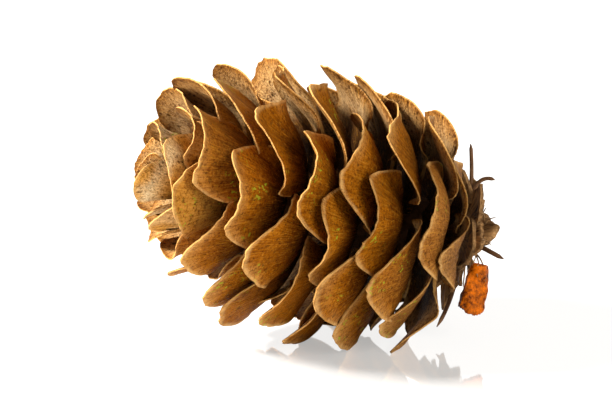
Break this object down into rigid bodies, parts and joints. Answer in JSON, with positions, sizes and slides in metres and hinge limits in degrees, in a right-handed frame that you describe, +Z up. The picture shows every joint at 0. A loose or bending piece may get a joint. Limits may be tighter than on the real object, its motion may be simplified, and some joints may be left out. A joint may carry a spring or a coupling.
{
  "type": "larch cone",
  "caption": "Opened larch cone with spiralling wavy-edged woody scales, lying on its side, with dry bracts and needles at its base.",
  "frame": {"origin": "middle of the bottom of the bounding box, on the surface that the cone lies on", "axes": "+Z up; +X is the longest extent and points to the base of the cone, so the tip points to -X and a little to -Y"},
  "size_m": [0.0288, 0.0238, 0.0225],
  "materials": {
    "scale_wood": "dry, matt, finely striated brown scales with pale margins",
    "bract_wood": "dry, matt, dark brown",
    "amber_bark": "thin, amber, slightly glossy"
  },
  "bodies": {
    "root": {"cone": "scale_wood", "base_bracts": "bract_wood", "amber_bud_scale": "amber_bark"}
  },
  "joints": []
}
